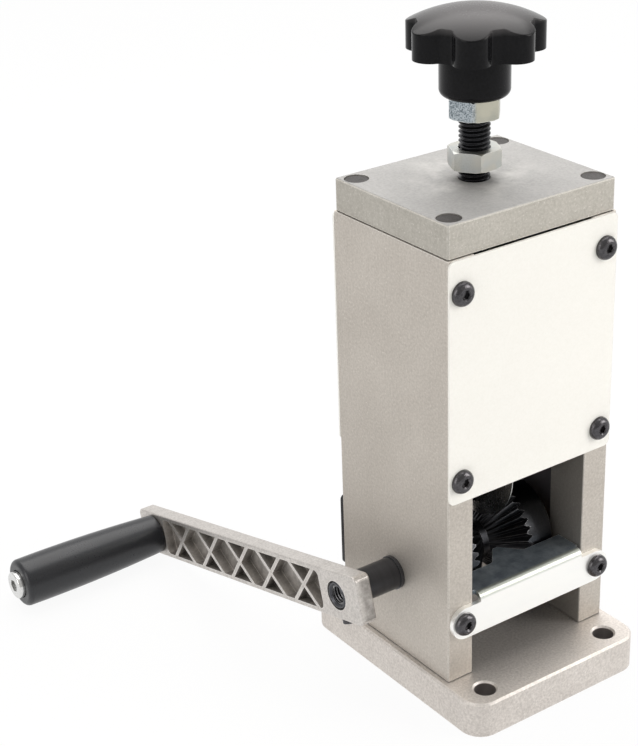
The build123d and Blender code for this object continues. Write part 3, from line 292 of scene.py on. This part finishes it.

# The side plates' inner faces are painted darker as shade, most in their channels, and a line of
# painted shade lies in the seam at their feet
inner_face, channel_floor, channel_half, seam_top = 0.0282, 0.0307, 0.0152, 0.01537
painted_seam_shade = (0.06, 0.05, 0.04, 1)
blasted_sides, tree, shader, colour, rough, tone, at = aluminium_stock(
    "blasted_sides", dark=(0.475, 0.438, 0.394, 1), light=(0.61, 0.569, 0.518, 1), bare_and_rim_shade=(0.88, 0.85, 0.81, 1)
)
side = either_side(tree, at["X"])
painted_inner_shade = below(tree, side, inner_face)
beside_middle = below(tree, either_side(tree, at["Y"]), channel_half)
painted_channel_shade = maths(tree, "MULTIPLY", below(tree, side, channel_floor), beside_middle)
colour = mixed(tree, maths(tree, "MULTIPLY", painted_inner_shade, 0.45), colour, (0.20, 0.19, 0.18, 1))
colour = mixed(tree, painted_channel_shade, colour, (0.13, 0.12, 0.13, 1))
colour = mixed(tree, below(tree, at["Z"], seam_top), colour, painted_seam_shade)
wire(tree, shader, colour, rough, tone, 0.00005, 0.6)
dress(blasted_sides, "left_side_plate", "right_side_plate")


# ---------------------------------------------------------------- top cap
# A thicker aluminium plate, greyer and more matt than the side plates, scuffed round the nut.
# Its edges are broken with a small bright chamfer; four screws hold it on the side plates.
cap_low, cap_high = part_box("top_cap")
scuff_near, scuff_far = 0.012, 0.034
seam_height, hollow_half = 0.00037, 0.028
milled_aluminium, tree, shader, colour, rough, tone, at = aluminium_stock(
    "milled_aluminium", dark=(0.41, 0.388, 0.346, 1), light=(0.52, 0.497, 0.45, 1), bare_and_rim_shade=(0.90, 0.88, 0.84, 1)
)
chamfer_foot, chamfer_top = cap_high.z - 0.0003, cap_high.z - 0.0001
top = spread(tree, at["Z"], chamfer_foot, chamfer_top)
near_stud = spread(tree, off_axis(tree, at["X"], at["Y"]), scuff_near, scuff_far, 1.0, 0.0)
rubs = spread(tree, noise(tree, on_piece(tree), 90.0, 4.0, 0.65), 0.45, 0.75)
face = mixed(tree, tone, (0.40, 0.395, 0.385, 1), (0.475, 0.465, 0.455, 1))
face = mixed(tree, maths(tree, "MULTIPLY", rubs, near_stud), face, (0.62, 0.61, 0.59, 1))
colour = mixed(tree, top, colour, face)
# A line of painted shade runs along the seam at the cap's foot, except over the body's hollow
over_hollow = below(tree, either_side(tree, at["X"]), hollow_half)
seam_shade_mask = maths(tree, "SUBTRACT", below(tree, at["Z"], cap_low.z + seam_height), over_hollow)
colour = mixed(tree, maths(tree, "MAXIMUM", seam_shade_mask, 0.0), colour, painted_seam_shade)
more_matt = 0.14
matt = maths(tree, "ADD", rough, maths(tree, "MULTIPLY", top, more_matt))
wire(tree, shader, colour, matt, tone, 0.00002, 0.4)
dress(milled_aluminium, "top_cap")


# ---------------------------------------------------------------- front and rear covers
# Thin sheets, coated off-white with a soft sheen, that close the front and back above the cable's
# path. They are as wide as the body, and a button head screw holds each corner.
def grained_finish(name, metallic, grain, cloud, edge_width, raggedness, dark, light, bare_and_rim_shade,
                rough_dark, rough_light, relief, strength, **extra):
    """A finish with a grained skin whose edges take the edge colour: rubbed bare, or painted shade on the
    plugs' rims.
    """
    material, tree, shader = start_material(name, metallic, **extra)
    skin = put(tree, blasted_skin, {"Grain": grain, "Cloud": cloud})
    edge = put(tree, edge_wear_and_shade, {"Width": edge_width, "Raggedness": raggedness})
    colour = mixed(tree, skin["Tone"], dark, light)
    colour = mixed(tree, edge["Mask"], colour, bare_and_rim_shade)
    rough = spread(tree, skin["Tone"], 0, 1, rough_dark, rough_light)
    wire(tree, shader, colour, rough, skin["Height"], relief, strength)
    return material


coated_sheet = grained_finish(
    "coated_sheet", metallic=0.0, Coat_Weight=0.25, Coat_Roughness=0.3,
    grain=0.0009, cloud=0.04, edge_width=0.0004, raggedness=0.2,
    dark=(0.85, 0.84, 0.79, 1), light=(0.89, 0.88, 0.835, 1), bare_and_rim_shade=(0.72, 0.71, 0.67, 1),
    rough_dark=0.42, rough_light=0.34, relief=0.00002, strength=0.3,
)
dress(coated_sheet, "front_cover", "rear_cover")


# ---------------------------------------------------------------- outfeed chute
# Zinc-plated steel sheet, bent at the top edge into a shelf that carries the cable to the roller.
# The plating is smooth and bright, creamy, in soft streaks. The shelf is painted a mottled dark blue
# and the bend a darker grey-green, both painted reflections.
zinc_plate, tree, shader = start_material("zinc_plate", 0.75)
bend_foot, bend_top = 0.0480, 0.0492
shelf_edge, shelf_full = -0.0335, -0.0325
place = on_piece(tree)
rolled = stretched(tree, place, (25.0, 160.0, 160.0))
streak = spread(tree, noise(tree, rolled, 1.0, 3.0, 0.6), 0.35, 0.65)
grain = noise(tree, place, 1800.0, 2.0)
edge = put(tree, edge_wear_and_shade, {"Width": 0.0006, "Raggedness": 0.2})
colour = mixed(tree, streak, (0.95, 0.95, 0.925, 1), (0.975, 0.97, 0.94, 1))
at = apart(tree, place)
# The bend is painted a darker grey-green, a painted reflection
colour = mixed(tree, spread(tree, at["Z"], bend_foot, bend_top), colour, (0.46, 0.48, 0.43, 1))
# The shelf is painted a mottled dark blue, a painted reflection of the dark body above it
mottle = spread(tree, noise(tree, place, 220.0, 4.0, 0.65), 0.35, 0.65)
shelf_reflection = mixed(tree, mottle, (0.24, 0.285, 0.34, 1), (0.44, 0.50, 0.55, 1))
colour = mixed(tree, spread(tree, at["Y"], shelf_edge, shelf_full), colour, shelf_reflection)
colour = mixed(tree, edge["Mask"], colour, (0.98, 0.98, 0.96, 1))
wire(tree, shader, colour, spread(tree, streak, 0, 1, 0.28, 0.30), grain, 0.000002, 0.1)
dress(zinc_plate, "outfeed_chute")


# ---------------------------------------------------------------- infeed plate
# Flat sheet, blackened, across the back behind the roller. The notch in its upper edge holds the
# cable in the middle, under the blade.
black_sheet = grained_finish(
    "black_sheet", metallic=0.7,
    grain=0.0006, cloud=0.02, edge_width=0.0004, raggedness=0.3,
    dark=(0.018, 0.018, 0.02, 1), light=(0.035, 0.036, 0.04, 1), bare_and_rim_shade=(0.16, 0.16, 0.17, 1),
    rough_dark=0.42, rough_light=0.32, relief=0.00002, strength=0.4,
)
dress(black_sheet, "infeed_plate")


# ---------------------------------------------------------------- body screws
# Black oxide steel: button heads on the sheets, cylinder heads sunk in the cap and the base plate.
# The oxide is thin, so the turned heads glint and the rims of the sockets are rubbed bright.
black_oxide = grained_finish(
    "black_oxide", metallic=1.0,
    grain=0.00025, cloud=0.0016, edge_width=0.0003, raggedness=0.5,
    dark=(0.022, 0.021, 0.024, 1), light=(0.15, 0.145, 0.15, 1), bare_and_rim_shade=(0.36, 0.355, 0.36, 1),
    rough_dark=0.28, rough_light=0.16, relief=0.00005, strength=0.6,
)
dress(black_oxide, "front_cover_screws", "rear_cover_screws", "chute_screws", "infeed_screws")
dress(black_oxide, "base_screws", "cap_screws")
dress(black_oxide, "roller_set_screw", "arm_set_screw", "axle_set_screw", "keeper_screws")


# ---------------------------------------------------------------- cap screw plugs
# Dark moulded plugs that close the cap's counterbores over its four screws. They are matt, and
# their rims are painted darker, as shade.
plug_plastic = grained_finish(
    "plug_plastic", metallic=0.0, Specular_IOR_Level=0.4,
    grain=0.0004, cloud=0.003, edge_width=0.0005, raggedness=0.3,
    dark=(0.022, 0.019, 0.018, 1), light=(0.058, 0.050, 0.047, 1), bare_and_rim_shade=(0.012, 0.010, 0.009, 1),
    rough_dark=0.55, rough_light=0.42, relief=0.00003, strength=0.4,
)
dress(plug_plastic, "cap_screw_plugs")


# ---------------------------------------------------------------- shaft bushes and thrust washers
# Sintered bronze. The bushes are pressed into the side plates, and the washers run between them
# and the roller; only flanges and rims show, inside the body.
bronze = grained_finish(
    "bronze", metallic=1.0,
    grain=0.0003, cloud=0.006, edge_width=0.0004, raggedness=0.3,
    dark=(0.36, 0.23, 0.10, 1), light=(0.52, 0.35, 0.17, 1), bare_and_rim_shade=(0.70, 0.52, 0.30, 1),
    rough_dark=0.5, rough_light=0.36, relief=0.00003, strength=0.4,
)
dress(bronze, "left_shaft_bush", "right_shaft_bush", "thrust_washers", "blade_bush")


# ---------------------------------------------------------------- drive shaft and key
# Black turned steel with faint marks from the lathe, rubbed a little at its edges. The shaft's end
# shows in the arm as a ring round a tapped hole for a powered drive.
black_steel, tree, shader = start_material("black_steel", 0.9)
turned = stretched(tree, on_piece(tree), (500.0, 30.0, 30.0))
lines = spread(tree, noise(tree, turned, 1.0, 2.0, 0.5), 0.3, 0.7)
edge = put(tree, edge_wear_and_shade, {"Width": 0.0004, "Raggedness": 0.4})
colour = mixed(tree, lines, (0.060, 0.061, 0.067, 1), (0.074, 0.075, 0.083, 1))
colour = mixed(tree, edge["Mask"], colour, (0.22, 0.22, 0.23, 1))
wire(tree, shader, colour, spread(tree, lines, 0, 1, 0.31, 0.28), lines, 0.000002, 0.2)
dress(black_steel, "drive_shaft", "roller_key")


# ---------------------------------------------------------------- thread in the shaft's end
# The tapped hole for a powered drive, M8 by 1.25. Its ridges stand in the shaft's plain bore, and
# its freshly cut steel is brighter than the shaft.
def helix_wall(root, crest, pitch, low, high, steps=64):
    """Rows of points along a thread: flank, crest, flank, root, all following the helix."""
    profile = [(0.0, root), (0.36, crest), (0.48, crest), (0.86, root)]
    turns = int((high - low) / pitch) + 2
    rows = [(t - 1 + share, radius) for t in range(turns + 1) for share, radius in profile]
    points, faces = [], []
    for i in range(steps + 1):
        angle = 2 * math.pi * i / steps
        for count, radius in rows:
            level = min(max(low + (count + i / steps) * pitch, low), high)
            points.append((radius * math.cos(angle), radius * math.sin(angle), level))
    many = len(rows)
    for i in range(steps):
        for j in range(many - 1):
            faces.append((i * many + j, (i + 1) * many + j, (i + 1) * many + j + 1, i * many + j + 1))
    return points, faces


def new_piece(name, points, faces, material, smooth_below=None):
    """A mesh object from points and faces, cleaned of doubles and empty faces."""
    mesh = bpy.data.meshes.new(name)
    mesh.from_pydata(points, [], faces)
    work = bmesh.new()
    work.from_mesh(mesh)
    bmesh.ops.remove_doubles(work, verts=work.verts, dist=1e-7)
    bmesh.ops.dissolve_degenerate(work, dist=1e-8, edges=work.edges)
    bmesh.ops.recalc_face_normals(work, faces=work.faces)
    work.to_mesh(mesh)
    work.free()
    mesh.materials.append(material)
    piece = bpy.data.objects.new(name, mesh)
    scene.collection.objects.link(piece)
    if smooth_below is not None:
        mesh.shade_smooth()
        mesh.set_sharp_from_angle(angle=math.radians(smooth_below))
    return piece


roller_low, roller_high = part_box("drive_roller")
shaft_level = (roller_low.z + roller_high.z) / 2
arm_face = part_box("crank_arm")[0].x
tap_root, tap_crest, tap_pitch = 0.00404, 0.00345, 0.00125
tap_start, tap_end = arm_face + 0.0009, arm_face + 0.0175
wall, faces = helix_wall(tap_root, tap_crest, tap_pitch, tap_start, tap_end, 40)
points = [(level, y, shaft_level + x) for x, y, level in wall]
cut_thread = grained_finish(
    "cut_thread", metallic=1.0,
    grain=0.0003, cloud=0.003, edge_width=0.0002, raggedness=0.3,
    dark=(0.10, 0.10, 0.105, 1), light=(0.20, 0.20, 0.205, 1), bare_and_rim_shade=(0.45, 0.45, 0.44, 1),
    rough_dark=0.36, rough_light=0.24, relief=0.00001, strength=0.3,
)
drive_thread = new_piece("drive_thread", points, faces, cut_thread, 30)
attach(drive_thread, "crank")


# ---------------------------------------------------------------- drive roller
# Hardened steel with a deep V for the cable. Both flanks are cut with radial teeth that bite
# into the insulation; they are deepest at the rim. The groove is painted darker towards its floor, as shade.
roller_end = roller_high.x
rim_radius = (roller_high.z - roller_low.z) / 2
roller_bore = 0.00652
groove_floor, groove_floor_half, groove_half = 0.009, 0.0015, 0.0125
teeth, tooth_depth = 36, 0.0019
tooth_shape = [0.0, 0.2, 0.72, 1.0, 0.72, 0.2]
samples = len(tooth_shape)
rim_land, rim_break = 0.003, 0.0012
groove_shade_start, groove_shade_full = 0.0185, 0.0100
flank_x, flank_r = groove_half - groove_floor_half, rim_radius - groove_floor
flank_length = math.hypot(flank_x, flank_r)
ring = teeth * samples
points, faces = [], []
for i in range(ring):
    angle = 2 * math.pi * i / ring
    bite = tooth_shape[i % samples] * tooth_depth
    notch = bite * flank_length / flank_r
    flank = []
    for share in (0.0, 0.12, 0.4, 0.7):
        depth = bite * min(1.0, share * 1.3)
        flank.append((groove_floor_half + flank_x * share + depth * flank_r / flank_length,
                      groove_floor + flank_r * share - depth * flank_x / flank_length))
    half = [*flank, (groove_half + notch, rim_radius), (groove_half + rim_land, rim_radius),
            (roller_end - rim_break, rim_radius), (roller_end, rim_radius - rim_break),
            (roller_end, roller_bore)]
    section = [(-x, r) for x, r in reversed(half)] + half
    for x, r in section:
        points.append((x, r * math.cos(angle), shaft_level + r * math.sin(angle)))
many = len(section)
for i in range(ring):
    j = (i + 1) % ring
    for k in range(many):
        n = (k + 1) % many
        faces.append((i * many + k, j * many + k, j * many + n, i * many + n))
roller_steel, tree, shader = start_material("roller_steel", 1.0)
skin = put(tree, blasted_skin, {"Grain": 0.0003, "Cloud": 0.006})
edge = put(tree, edge_wear_and_shade, {"Width": 0.00035, "Raggedness": 0.5})
colour = mixed(tree, skin["Tone"], (0.024, 0.025, 0.028, 1), (0.062, 0.063, 0.067, 1))
colour = mixed(tree, edge["Mask"], colour, (0.50, 0.50, 0.51, 1))
at = apart(tree, on_piece(tree))
from_axis = off_axis(tree, at["Y"], maths(tree, "SUBTRACT", at["Z"], shaft_level))
painted_groove_shade = spread(tree, from_axis, groove_shade_start, groove_shade_full, 0.0, 0.6)
colour = mixed(tree, painted_groove_shade, colour, (0.012, 0.012, 0.014, 1))
wire(tree, shader, colour, spread(tree, skin["Tone"], 0, 1, 0.40, 0.27), skin["Height"], 0.00003, 0.4)
toothed_roller = new_piece("toothed_roller", points, faces, roller_steel, 32)
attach(toothed_roller, "crank")
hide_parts("drive_roller")


# ---------------------------------------------------------------- crank arm
# Die-cast aluminium, tumbled, with a lattice cast into its outer face to save weight.
# The pocket is painted darker, as shade with a mottled tarnish, and the skin is bright along the ribs.
cast_aluminium, tree, shader = start_material("cast_aluminium", 0.85)
skin = put(tree, blasted_skin, {"Grain": 0.0009, "Cloud": 0.006})
edge = put(tree, edge_wear_and_shade, {"Width": 0.0008, "Raggedness": 0.3})
tilt = math.radians(15)
pocket_half, pocket_mouth, pocket_floor = 0.0084, arm_face + 0.0006, arm_face + 0.0030
place = on_piece(tree)
at = apart(tree, place)
above = maths(tree, "SUBTRACT", at["Z"], shaft_level)
upright_part = maths(tree, "MULTIPLY", above, math.cos(tilt))
across = maths(tree, "ADD", maths(tree, "MULTIPLY", at["Y"], math.sin(tilt)), upright_part)
in_pocket = below(tree, either_side(tree, across), pocket_half)
# The pocket: painted shade with a mottled tarnish
pocket_shade_and_tarnish = maths(tree, "MULTIPLY", in_pocket, spread(tree, at["X"], pocket_mouth, pocket_floor))
pocket_mottle = spread(tree, noise(tree, place, 260.0, 3.0, 0.6), 0.3, 0.65, 0.35, 0.85)
colour = mixed(tree, skin["Tone"], (0.46, 0.435, 0.41, 1), (0.68, 0.645, 0.61, 1))
colour = mixed(tree, maths(tree, "MULTIPLY", pocket_shade_and_tarnish, pocket_mottle), colour, (0.21, 0.195, 0.18, 1))
colour = mixed(tree, edge["Mask"], colour, (0.85, 0.83, 0.80, 1))
wire(tree, shader, colour, spread(tree, skin["Tone"], 0, 1, 0.48, 0.34), skin["Height"], 0.00012, 0.5)
dress(cast_aluminium, "crank_arm")


# ---------------------------------------------------------------- handle grip, sleeve, bolt and nut
# A moulded black grip with a satin skin turns on a steel sleeve. A bright low-head bolt and a nut
# behind the arm clamp the sleeve.
grip_plastic, tree, shader = start_material("grip_plastic", 0.0, Specular_IOR_Level=0.5)
skin = put(tree, blasted_skin, {"Grain": 0.0006, "Cloud": 0.012})
colour = mixed(tree, skin["Tone"], (0.010, 0.011, 0.013, 1), (0.020, 0.021, 0.025, 1))
wire(tree, shader, colour, spread(tree, skin["Tone"], 0, 1, 0.36, 0.26), skin["Height"], 0.00004, 0.35)
dress(grip_plastic, "handle_grip")

bright_steel = grained_finish(
    "bright_steel", metallic=1.0,
    grain=0.0003, cloud=0.005, edge_width=0.0004, raggedness=0.2,
    dark=(0.62, 0.62, 0.61, 1), light=(0.78, 0.78, 0.77, 1), bare_and_rim_shade=(0.92, 0.92, 0.91, 1),
    rough_dark=0.24, rough_light=0.16, relief=0.00001, strength=0.3,
)
dress(bright_steel, "handle_bolt", "handle_nut", "grip_sleeve")


# ---------------------------------------------------------------- blade, axle and spacers
# A round tool-steel blade, ground on both bevels, runs on a bronze bush between two spacers. The
# stones leave fine close lines and a soft shine.
ground_steel, tree, shader = start_material("ground_steel", 1.0)
grinding = noise(tree, stretched(tree, on_piece(tree), (200.0, 1400.0, 1400.0)), 1.0, 3.0, 0.6)
edge = put(tree, edge_wear_and_shade, {"Width": 0.0003, "Raggedness": 0.2})
colour = mixed(tree, spread(tree, grinding, 0.3, 0.7), (0.46, 0.45, 0.435, 1), (0.51, 0.50, 0.485, 1))
colour = mixed(tree, edge["Mask"], colour, (0.85, 0.85, 0.84, 1))
wire(tree, shader, colour, spread(tree, grinding, 0.3, 0.7, 0.30, 0.26), grinding, 0.000003, 0.1)
dress(ground_steel, "blade_disc", "blade_axle", "blade_spacers")


# ---------------------------------------------------------------- blade carrier and stud keeper
# A machined steel fork, blackened over its cutter marks, slides in the side plates' channels. The
# keeper plate on its top holds the stud's foot.
dark_machined, tree, shader = start_material("dark_machined", 0.9)
passes = noise(tree, stretched(tree, on_piece(tree), (60.0, 900.0, 900.0)), 1.0, 3.0, 0.6)
edge = put(tree, edge_wear_and_shade, {"Width": 0.0006, "Raggedness": 0.4})
colour = mixed(tree, spread(tree, passes, 0.3, 0.7), (0.03, 0.031, 0.034, 1), (0.07, 0.071, 0.076, 1))
colour = mixed(tree, edge["Mask"], colour, (0.30, 0.30, 0.31, 1))
wire(tree, shader, colour, spread(tree, passes, 0.3, 0.7, 0.45, 0.32), passes, 0.00002, 0.4)
dress(dark_machined, "blade_carrier", "stud_keeper")


# ---------------------------------------------------------------- adjusting stud
# Black threaded steel, M12 by 1.75, with a plain neck and foot that turn in the carrier. The
# crests of the thread are rubbed a little.
stud_low, stud_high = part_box("adjusting_stud")
clearance = 0.00015
keeper_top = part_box("stud_keeper")[1].z + clearance
pitch, stud_outer, stud_root = 0.00175, 0.00588, 0.00492
foot_radius, neck_radius, foot_top = 0.0058, 0.004, stud_low.z + 0.0067
points, faces = helix_wall(stud_root, stud_outer, pitch, keeper_top, stud_high.z)
steps = 64
for radius_low, radius_high, level_low, level_high in (
    (0.0, foot_radius, stud_low.z, stud_low.z),
    (foot_radius, foot_radius, stud_low.z, foot_top),
    (foot_radius, neck_radius, foot_top, foot_top),
    (neck_radius, neck_radius, foot_top, keeper_top),
    (neck_radius, stud_outer, keeper_top, keeper_top),
    (stud_outer, 0.0, stud_high.z, stud_high.z),
):
    first = len(points)
    for i in range(steps):
        turn = 2 * math.pi * i / steps
        points.append((radius_low * math.cos(turn), radius_low * math.sin(turn), level_low))
        points.append((radius_high * math.cos(turn), radius_high * math.sin(turn), level_high))
    for i in range(steps):
        a, b = first + 2 * i, first + 2 * ((i + 1) % steps)
        faces.append((a, b, b + 1, a + 1))
thread_black = grained_finish(
    "thread_black", metallic=0.9,
    grain=0.0004, cloud=0.005, edge_width=0.0002, raggedness=0.4,
    dark=(0.012, 0.012, 0.014, 1), light=(0.03, 0.03, 0.033, 1), bare_and_rim_shade=(0.16, 0.16, 0.17, 1),
    rough_dark=0.36, rough_light=0.24, relief=0.00002, strength=0.3,
)
threaded_stud = new_piece("threaded_stud", points, faces, thread_black, 25)
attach(threaded_stud, "screw")
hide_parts("adjusting_stud")


# ---------------------------------------------------------------- lock nut and jam nut
# M12 hexagon nuts, zinc plated: clear with a faint yellow and blue cast. Their -X side is painted
# darker, bluer and speckled, a painted reflection of the dimmer room on that side.
def zinc_nut(name, pale, warm, shaded_share):
    """Zinc plate; the side towards -X is painted darker, bluer and speckled, a painted reflection, by the
    share given.
    """
    material, tree, shader = start_material(name, 1.0)
    shade_from, shade_full = -0.0055, -0.0068
    place = on_piece(tree)
    tint = spread(tree, noise(tree, place, 160.0, 2.0), 0.40, 0.60)
    speck = spread(tree, noise(tree, place, 1700.0, 3.0, 0.7), 0.47, 0.56)
    left_shade = spread(tree, apart(tree, place)["X"], shade_from, shade_full, 0.0, shaded_share)
    edge = put(tree, edge_wear_and_shade, {"Width": 0.0005, "Raggedness": 0.2})
    colour = mixed(tree, tint, pale, warm)
    shaded_colour = mixed(tree, speck, (0.42, 0.47, 0.51, 1), (0.09, 0.12, 0.15, 1))
    colour = mixed(tree, left_shade, colour, shaded_colour)
    colour = mixed(tree, edge["Mask"], colour, (0.80, 0.80, 0.76, 1))
    wire(tree, shader, colour, spread(tree, tint, 0, 1, 0.42, 0.36), speck, 0.00001, 0.3)
    return material


lock_nut_plating = zinc_nut("lock_nut_plating", (0.50, 0.515, 0.50, 1), (0.55, 0.545, 0.50, 1), 0.1)
jam_nut_plating = zinc_nut("jam_nut_plating", (0.42, 0.42, 0.36, 1), (0.50, 0.485, 0.40, 1), 0.9)
dress(lock_nut_plating, "lock_nut")
dress(jam_nut_plating, "knob_jam_nut")


# ---------------------------------------------------------------- star knob and its insert
# Compression-moulded black plastic with a polished skin, on a brass insert. The crown is painted a
# lighter grey, a painted sheen, and handling has hazed it more matt.
knob_plastic, tree, shader = start_material("knob_plastic", 0.0, Specular_IOR_Level=0.11)
skin = put(tree, blasted_skin, {"Grain": 0.0010, "Cloud": 0.012})
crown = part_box("knob")[1].z
crown_band_foot, crown_band_full = crown - 0.0065, crown - 0.0010
crown_sheen_and_haze = spread(tree, apart(tree, on_piece(tree))["Z"], crown_band_foot, crown_band_full)
colour = mixed(tree, skin["Tone"], (0.004, 0.004, 0.0045, 1), (0.008, 0.008, 0.009, 1))
colour = mixed(tree, crown_sheen_and_haze, colour, (0.12, 0.115, 0.116, 1))
polish = spread(tree, skin["Tone"], 0, 1, 0.17, 0.11)
rough = maths(tree, "ADD", polish, maths(tree, "MULTIPLY", crown_sheen_and_haze, 0.12))
wire(tree, shader, colour, rough, skin["Height"], 0.00001, 0.2)
dress(knob_plastic, "knob")

insert_brass = grained_finish(
    "insert_brass", metallic=1.0,
    grain=0.0004, cloud=0.006, edge_width=0.0004, raggedness=0.2,
    dark=(0.55, 0.38, 0.14, 1), light=(0.70, 0.52, 0.24, 1), bare_and_rim_shade=(0.85, 0.70, 0.42, 1),
    rough_dark=0.34, rough_light=0.24, relief=0.00002, strength=0.3,
)
dress(insert_brass, "knob_insert")
